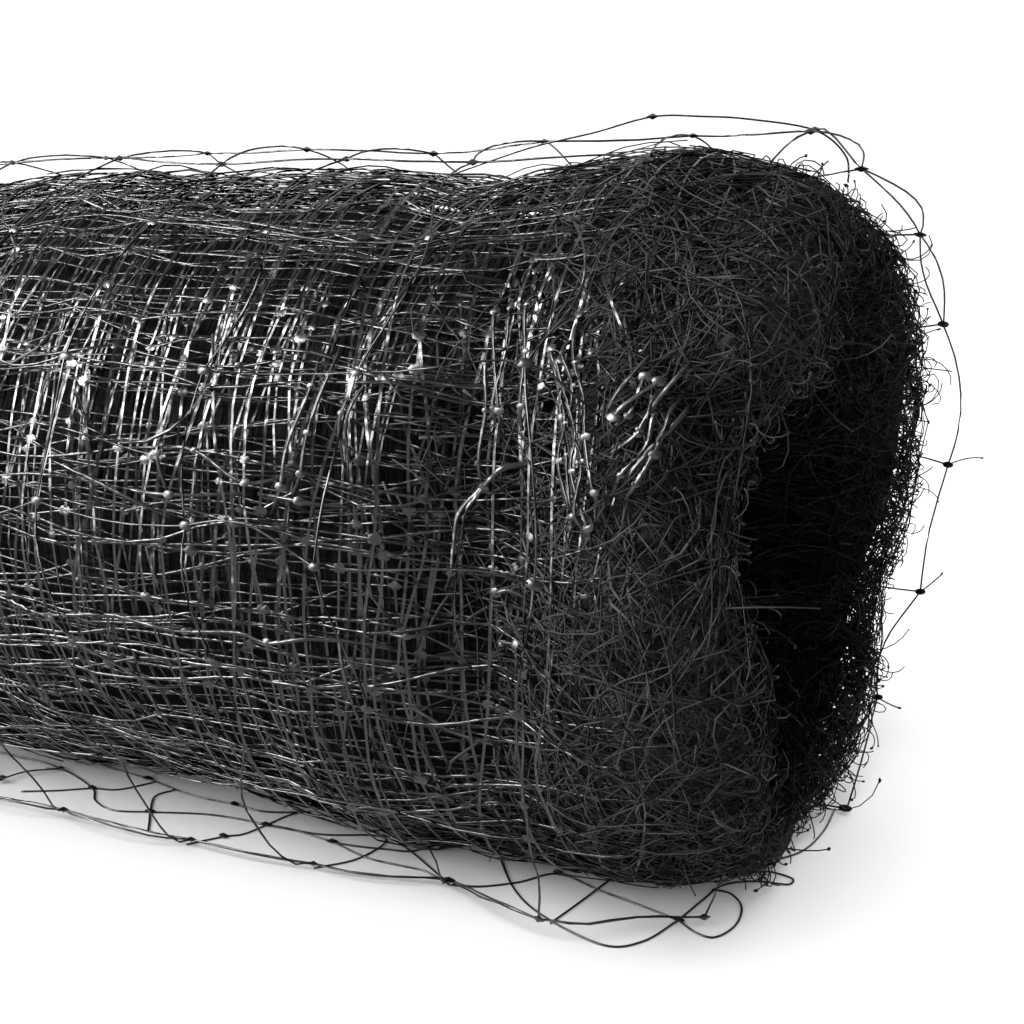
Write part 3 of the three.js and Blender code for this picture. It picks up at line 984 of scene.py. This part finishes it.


# %% [markdown]
# In front of the mouth the net has come apart, and its strands lie on the floor in curls that no rule
# would give. They are given one by one: each is a list of spots, and a smooth line runs through them.
# One more strand springs up over the mouth.

# %% Loose strands given spot by spot
UP = np.array([0, 0, 1])
LOOSE_KNOT = np.array([0.95, 0.56, 0.42]) * MM
FLOOR_LOOPS = [
    # mm back from the mouth, mm in front of the axis
    [(14, 22), (11, 24), (8.5, 24), (7.2, 20), (8, 15), (10.5, 12), (13, 12)],
    [(44, 14), (36, 24), (29, 29), (20, 32), (16, 29), (14, 22)],
    [(14, 22), (13, 15), (12, 10), (8.5, 7), (4.5, 6), (4.5, 4), (8, 3.5), (11, 6)],
    [(12, 7), (9, 1), (5.5, -5), (4.5, -13), (5, -22)],
    [(142, 14), (127, 13.5), (116, 15), (106, 16), (96, 18), (87, 18), (81, 18), (75, 15)],
    [(120, 29), (115, 26), (111, 23), (107, 21.5), (104, 16.5)],
    [(124, 20), (120, 19.5), (111, 23), (107, 26.5), (102, 28), (96.5, 26), (89, 23), (83, 22), (78, 22)],
    [(99, 17.5), (100, 21), (96.5, 26), (94, 29), (92, 31.5)],
    [(84, 32.5), (81, 28), (79, 26), (78, 22), (77, 17), (75, 15)],
    [(78, 22), (74, 21.5), (66, 22.5), (59, 24.5), (53, 24.5), (49.5, 24.5), (44.5, 26.5)],
    [(78, 22), (69, 21), (62.5, 18), (60, 18), (59, 20.5), (60, 26), (63.5, 30.5)],
    [(66, 22.5), (62, 22), (58, 21), (54.5, 20), (52.5, 17), (51, 14.5)],
    [(59.5, 17.5), (54.5, 20), (49, 23.5), (44.5, 26.5)],
    [(44.5, 26.5), (40.5, 25), (36.5, 21.5), (33, 17), (26, 19), (19.5, 20.5), (14, 22)],
    [(26, 15), (27, 23), (28, 30)],
]
FLOOR_KNOTS = [
    # mm back from the mouth, mm in front of the axis
    (127, 13.5), (106, 16), (87, 18), (111, 23), (96.5, 26), (81, 28), (78, 22), (66, 22.5), (33, 17),
    (14, 22),
]
ARCH_SPOTS = [
    # mm back from the mouth, mm over the axis
    (62, 45.5), (53, 48), (45, 50), (36.5, 51.4), (28, 53.1), (21, 52.8), (15, 52.2), (6.5, 50.5),
    (2.5, 47.3), (2, 44),
]
ARCH_KNOTS = [4, 7]


def placed_strand(parts, places):
    """A loose strand through given places."""
    lines = smooth_lines(places[None], LOOSE_STEPS)
    add_ribbons(parts, lines, UP + 0 * lines, LOOSE_WIDTH, LOOSE_HEIGHT)


def placed_knots(parts, places, tangents):
    """Knots that lie level at given places."""
    add_lenses(parts, places, tangents, UP + 0 * places, LOOSE_KNOT + 0 * places, KNOT_CORNERS)


def on_floor(spots, height):
    """Places at a height over the floor."""
    back, out = np.array(spots, float).T * MM
    return np.stack([MOUTH_X - back, AXIS_Y - out, 0 * back + height], axis=-1)


def floor_strands(parts, rng):
    """The strands that lie on the floor, and the knots on them."""
    for spots in FLOOR_LOOPS:
        placed_strand(parts, on_floor(spots, 1.5 * LOOSE_WIDTH))
    places = on_floor(FLOOR_KNOTS, LOOSE_KNOT[2])
    sideways = rng.normal(0, 0.4, len(places))
    placed_knots(parts, places, np.stack([1 + 0 * sideways, sideways, 0 * sideways], axis=-1))


def arched_strand(parts):
    """The strand that springs up over the mouth, and its knots."""
    back, height = np.array(ARCH_SPOTS).T * MM
    places = np.stack([MOUTH_X - back, AXIS_Y + 0 * back, AXIS_Z + height], axis=-1)
    placed_strand(parts, places)
    knots = places[ARCH_KNOTS]
    placed_knots(parts, knots, np.array([1, 0, 0]) + 0 * knots)


# %% [markdown]
# The rest is a net like a wound turn, but its strands are slack, so they bow further between the
# knots. It is laid in two stretches: down to the floor over the whole length, and on along the floor
# only up to where the listed strands take over.

# %% The loose turn's net
DOUBLED = slice(4, 8)
STUBBED = slice(0, 5)
PLACED_ROWS = 6


def net_of(parts, rng, knots, first):
    """Strands both ways through a grid of knots; lengthwise ones and knots from a first column on."""
    rows, columns = knots.shape[:2]
    ring_push = rng.normal(0, (1.6 * MM, 0, 0.35 * MM), (rows, columns - 1, 3))
    long_push = rng.normal(0, (0, 1.4 * LOOSE_MM, 0.35 * MM), (columns, rows - 1, 3))
    rings = bowed_lines(knots, LOOSE_STEPS, ring_push)
    lengths = bowed_lines(knots.transpose(1, 0, 2), LOOSE_STEPS, long_push)[first:]
    for lines in (rings, lengths):
        lay_strands(parts, loose_skin, lines, rng, LOOSE_WIDTH, LOOSE_HEIGHT, LOOSE_TWIST)
    shown = knots[:, first:].reshape(-1, 3)
    sizes = LOOSE_KNOT * rng.uniform(0.85, 1.15, (len(shown), 1))
    lay_knots(parts, loose_skin, shown, rng, sizes, KNOT_CORNERS)


def loose_turn(rng):
    """The whole loose turn: its net, its edges and the listed strands."""
    parts = Parts()
    net_of(parts, rng, loose_grid[:, : FLOOR_ROW + 1], 0)
    net_of(parts, rng, loose_grid[:-PLACED_ROWS, FLOOR_ROW:], 1)
    edge_loops(parts, rng, loose_grid[:, FLOOR_ROW], (0, -LOOSE_MM, 0.1 * MM))
    edge_loops(parts, rng, loose_grid[-1, DOUBLED], (MM, 0, 0))
    edge_loops(parts, rng, loose_grid[0, DOUBLED], (-MM, 0, 0))
    edge_stubs(parts, rng, loose_grid[-1, STUBBED], (1, 0, 0))
    edge_stubs(parts, rng, loose_grid[0, STUBBED], (-1, 0, 0))
    floor_strands(parts, rng)
    arched_strand(parts)
    return make_piece("loose_net", parts)


loose_net = loose_turn(np.random.default_rng(6))

# %% [markdown]
# Finishes are written as sums. A wrapped socket stands for whatever comes out of it, and adding or
# multiplying two of them adds the Math node that does it, so a finish reads like the formula that it
# is.

# %% A socket that can stand in a sum
class Tap:
    """A socket of a material; each operator adds the Math node for it."""

    def __init__(self, tree, socket):
        self.tree, self.socket = tree, socket

    def node(self, kind, settings=None, inputs=None, output=0):
        """Any other node: its type, its settings, and the values or links of its sockets."""
        made = self.tree.nodes.new(kind)
        for name, value in (settings or {}).items():
            setattr(made, name, value)
        for name, value in (inputs or {}).items():
            if isinstance(value, Tap):
                self.tree.links.new(value.socket, made.inputs[name])
            else:
                made.inputs[name].default_value = value
        return Tap(self.tree, made.outputs[output])

    def maths(self, operation, first, second):
        """A Math node for two values or numbers."""
        return self.node("ShaderNodeMath", {"operation": operation}, {0: first, 1: second})

    def __add__(self, other):
        return self.maths("ADD", self, other)

    def __radd__(self, other):
        return self.maths("ADD", other, self)

    def __sub__(self, other):
        return self.maths("SUBTRACT", self, other)

    def __rsub__(self, other):
        return self.maths("SUBTRACT", other, self)

    def __mul__(self, other):
        return self.maths("MULTIPLY", self, other)

    def __rmul__(self, other):
        return self.maths("MULTIPLY", other, self)

    def noise(self, scale, detail=2.0):
        """A cloud from 0 to 1 at a scale of so many to the metre."""
        return self.node("ShaderNodeTexNoise", None, {"Vector": self, "Scale": scale, "Detail": detail})

    def ramp(self, low, high):
        """0 up to low, 1 from high on, and even steps between."""
        return self.node("ShaderNodeMapRange", None, {"Value": self, 1: low, 2: high})

    def between(self, low, high):
        """This value as a mix of two colours."""
        sockets = {"Factor": self, 6: (*low, 1), 7: (*high, 1)}
        return self.node("ShaderNodeMix", {"data_type": "RGBA"}, sockets, 2)


# %% [markdown]
# A new material comes with one Principled shader, which is all that plastic needs. One helper makes
# it and hands over the places on the object, from which every pattern starts. The other links
# finished sums to the shader's sockets.

# %% A new finish
def new_finish(name):
    """A material, its shader and the places on the object, ready for sums."""
    finish = bpy.data.materials.new(name)
    finish.use_nodes = True
    shader = finish.node_tree.nodes["Principled BSDF"]
    start = Tap(finish.node_tree, None)
    return finish, shader, start.node("ShaderNodeTexCoord", output=3)


def feed(shader, **sockets):
    """Link sums to the shader's sockets; an underscore stands for a space."""
    for name, tap in sockets.items():
        tap.tree.links.new(tap.socket, shader.inputs[name.replace("_", " ")])


# %% [markdown]
# The strands are polypropylene coloured right through: nearly black, with a gloss that is broken by
# fine drawing lines and dulled here and there by dust. The frayed bits have been rubbed, so they are
# duller. The bits underneath them are painted paler, as painted fill light in the shaded gaps.

# %% Black plastic for the strands
COOL = 1.04
CLOUD_SCALE = 45
GRAIN_SCALE = 260
BUMP_STRENGTH = 0.9
PLASTIC_IOR = 1.49
PLASTIC_ROWS = [
    # name, darkest and dustiest grey, least roughness, shine, height of the kinks in mm
    ("wound_plastic", 0.0018, 0.0062, 0.18, 0.5, 1.2),
    # painted shade: a darker, rougher copy of the wound plastic for the deepest turns, which lie in shadow
    ("deep_plastic", 0.0014, 0.0044, 0.23, 0.5, 1.2),
    ("frayed_plastic", 0.0085, 0.0165, 0.5, 0.2, 0.5),
    # painted fill light: the broad bits under the felt are painted paler to lift the shaded gaps
    ("dusty_plastic", 0.025, 0.042, 0.6, 0.1, 0.5),
    # painted shade: a darker, duller copy of the frayed plastic for the bits and ends in the hollows
    ("hollow_plastic", 0.001, 0.0025, 0.5, 0.12, 0.5),
    ("loose_plastic", 0.003, 0.007, 0.2, 0.45, 0.5),
    # painted light: the strays are painted paler than the wound strands, for the light they catch nearer
    # the lamp
    ("stray_plastic", 0.008, 0.02, 0.22, 0.5, 0.8),
]


def grey(value):
    """A grey with a hint of blue."""
    return (value, value, COOL * value)


def strand_plastic(name, dark, dusty, smoothest, shine, kinks):
    """Strand plastic: dust lies in clouds, and a fine grain bends the light and dulls it."""
    finish, shader, place = new_finish(name)
    cloud = place.noise(CLOUD_SCALE, 3)
    grain = place.noise(GRAIN_SCALE)
    kinked = {"Strength": BUMP_STRENGTH, "Distance": kinks * MM, "Height": grain}
    ripple = place.node("ShaderNodeBump", None, kinked)
    feed(shader, Base_Color=(cloud * cloud * 1.3).between(grey(dark), grey(dusty)), Normal=ripple)
    feed(shader, Roughness=smoothest + 0.15 * grain + 0.12 * cloud)
    shader.inputs["IOR"].default_value = PLASTIC_IOR
    shader.inputs["Specular IOR Level"].default_value = shine
    return finish


plastic = {row[0]: strand_plastic(*row) for row in PLASTIC_ROWS}
print("strand finishes:", sorted(plastic))

# %% [markdown]
# The heart stands for packed turns in shadow. It is a rough black with hardly any shine, and a bump
# of lines that cross hints at the turns too deep to build. Under the felt at the rims it is painted
# paler, as painted fill light in the shaded gaps there.

# %% Packed black for the heart
PAINTED_FILL_UNDER_FELT = 0.046
FELT_BACK = (34 * MM, 16 * MM)
FELT_RADIUS = (38 * MM, 43 * MM)
PACKED_SHINE = 0.04
TURN_RELIEF = 1.2 * MM


def packed_black():
    """A rough black with crossing lines, painted paler under the felt as painted fill light."""
    finish, shader, place = new_finish("packed_black")
    cloud = place.noise(80, 2)
    rings = place.node("ShaderNodeMapping", None, {"Vector": place, "Scale": (8, 1, 1)}).noise(160, 3)
    lengths = place.node("ShaderNodeMapping", None, {"Vector": place, "Scale": (1, 9, 9)}).noise(140, 3)
    lines = rings + lengths
    lined = {"Strength": BUMP_STRENGTH, "Distance": TURN_RELIEF, "Height": lines}
    ridges = place.node("ShaderNodeBump", None, lined)
    from_axis = {0: place, 1: (0, AXIS_Y, AXIS_Z)}
    spot = place.node("ShaderNodeVectorMath", {"operation": "SUBTRACT"}, from_axis)
    x, y, z = (spot.node("ShaderNodeSeparateXYZ", None, {0: spot}, axis) for axis in range(3))
    # painted fill light: the heart is painted paler under the felt at the rims, where the felt shades it
    painted_fill_mask = (x * x).ramp(*((MOUTH_X - back) ** 2 for back in FELT_BACK))
    painted_fill_mask = painted_fill_mask * (y * y + z * z).ramp(*(radius**2 for radius in FELT_RADIUS))
    tone = 0.0015 + 0.0055 * (cloud * lines) + PAINTED_FILL_UNDER_FELT * painted_fill_mask
    feed(shader, Base_Color=tone.between(grey(0), grey(1)), Normal=ridges)
    feed(shader, Roughness=0.55 + 0.3 * cloud)
    shader.inputs["Specular IOR Level"].default_value = PACKED_SHINE
    return finish


heart_black = packed_black()
print("heart finish:", len(heart_black.node_tree.nodes), "nodes")

# %% [markdown]
# Every piece is tied to the roll's one body and gets one of the plastic finishes above. The heart
# stands in for the wound solid, and the loose net for the solid of the loose turn.

# %% Put the finishes on, and tie every piece to the roll
outer_turns, middle_turns, inner_turns = turn_pieces
dressed = [
    (outer_turns, plastic["wound_plastic"]),
    (middle_turns, plastic["wound_plastic"]),
    (inner_turns, plastic["deep_plastic"]),
    (heart, heart_black),
    (under_felt, plastic["dusty_plastic"]),
    (rim_felt, plastic["frayed_plastic"]),
    (hollow_felt, plastic["hollow_plastic"]),
    (stray_strands, plastic["stray_plastic"]),
    (rim_rings, plastic["frayed_plastic"]),
    (rim_ends, plastic["frayed_plastic"]),
    (hollow_ends, plastic["hollow_plastic"]),
    (loose_net, plastic["loose_plastic"]),
]
for piece, finish in dressed:
    piece.data.materials.append(finish)
    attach(piece, "root")
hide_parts("wound_roll")
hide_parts("loose_turn")
print(len(dressed), "pieces ride on the roll")

# %% [markdown]
# The roll lies on a plain pale floor that runs on past the picture's edges, so no edge or line shows
# behind it. One large face does for that. It belongs to the picture and not to the roll.

# %% Floor
FLOOR_SIZE = 6.0
FLOOR_TONE = 0.86
FLOOR_ROUGHNESS = 0.7
half = FLOOR_SIZE / 2
floor_mesh = bpy.data.meshes.new("floor")
floor_corners = [(-half, -half, 0), (half, -half, 0), (half, half, 0), (-half, half, 0)]
floor_mesh.from_pydata(floor_corners, [], [(0, 1, 2, 3)])
floor = in_scene("floor", floor_mesh)
floor_finish, floor_shader, _ = new_finish("pale_floor")
floor_shader.inputs["Base Color"].default_value = (FLOOR_TONE, FLOOR_TONE, FLOOR_TONE, 1)
floor_shader.inputs["Roughness"].default_value = FLOOR_ROUGHNESS
floor_mesh.materials.append(floor_finish)
print(f"floor: {FLOOR_SIZE:.0f} m square")

# %% [markdown]
# The studio is white behind the roll, which is what makes black plastic look grey where it turns
# away. On the camera's side it is dimmer, so that the front stays black, and the camera itself sees
# plain white all round.

# %% Surroundings
FRONT_GLOW = 0.11
BACK_GLOW = 1.0
BACKDROP = 1.2
GLOW_FROM = -0.4
GLOW_TO = 0.6


def studio_world():
    """Surroundings that glow more behind the roll than in front of it."""
    world = bpy.data.worlds.new("studio")
    world.use_nodes = True
    background = world.node_tree.nodes["Background"]
    start = Tap(world.node_tree, None)
    way = start.node("ShaderNodeTexCoord")
    backward = start.node("ShaderNodeSeparateXYZ", None, {0: way}, 1)
    ramp = {"Value": backward, 1: GLOW_FROM, 2: GLOW_TO, 3: FRONT_GLOW, 4: BACK_GLOW}
    glow = start.node("ShaderNodeMapRange", None, ramp)
    seen = start.node("ShaderNodeLightPath")
    strength = glow + seen * (BACKDROP - glow)
    world.node_tree.links.new(strength.socket, background.inputs["Strength"])
    background.inputs["Color"].default_value = (1, 1, 1, 1)
    bpy.context.scene.world = world


studio_world()
print(f"studio: {FRONT_GLOW} in front of the roll, {BACK_GLOW} behind it")

# %% [markdown]
# One lamp stands to the left, in front and above, where its reflection falls on the upper front of
# the body, and a weak one lower down fills the front. Both are linked to the netting and light
# nothing else.

# %% Lamps
def softbox(name, aim, way, distance, width, height, watts):
    """A lamp at a distance from aim, along way, facing it."""
    data = bpy.data.lights.new(name, "AREA")
    data.shape = "RECTANGLE"
    data.size = width
    data.size_y = height
    data.energy = watts
    lamp = in_scene(name, data)
    way = Vector(way).normalized()
    lamp.location = aim + distance * way
    lamp.rotation_euler = (-way).to_track_quat("-Z", "Y").to_euler()
    return lamp


def light_only(lamp, objects):
    """Let a lamp light some objects and no others."""
    lit = bpy.data.collections.new(lamp.name + "_lights")
    for thing in objects:
        lit.objects.link(thing)
    lamp.light_linking.receiver_collection = lit


body_aim = Vector((MOUTH_X - 100 * MM, AXIS_Y, AXIS_Z))
key_lamp = softbox(
    "key_lamp", body_aim, way=(-0.67, -0.54, 0.5), distance=0.9, width=0.5, height=0.4, watts=33.5
)
fill_lamp = softbox(
    "fill_lamp", body_aim, way=(-0.76, -0.62, 0.07), distance=0.45, width=0.14, height=0.14, watts=1.5
)
for lamp in (key_lamp, fill_lamp):
    light_only(lamp, [piece for piece, _ in dressed])
print("lamps:", [(lamp.name, lamp.data.energy) for lamp in (key_lamp, fill_lamp)])

# %% [markdown]
# A sun of its own lights only the floor, which keeps it white. The wider a sun is, the softer its
# shadow, and this one is very wide, so the roll's shadow fades out close by. Plain tones keep white
# white and black black.

# %% The floor's sun
FLOOR_SUN = 5.0
SUN_WIDTH = math.radians(66)
SUN_LEAN = math.radians(44)
SUN_TURN = math.radians(8)
floor_light = bpy.data.lights.new("floor_lamp", "SUN")
floor_light.energy = FLOOR_SUN
floor_light.angle = SUN_WIDTH
floor_lamp = in_scene("floor_lamp", floor_light)
floor_lamp.rotation_euler = (SUN_LEAN, 0, SUN_TURN)
light_only(floor_lamp, [floor])
print("the sun lights", floor.name, "with", floor_light.energy)
bpy.context.scene.view_settings.view_transform = "Standard"

# %% [markdown]
# Last, the scene is brought up to date.

# %% Finish
bpy.context.view_layer.update()
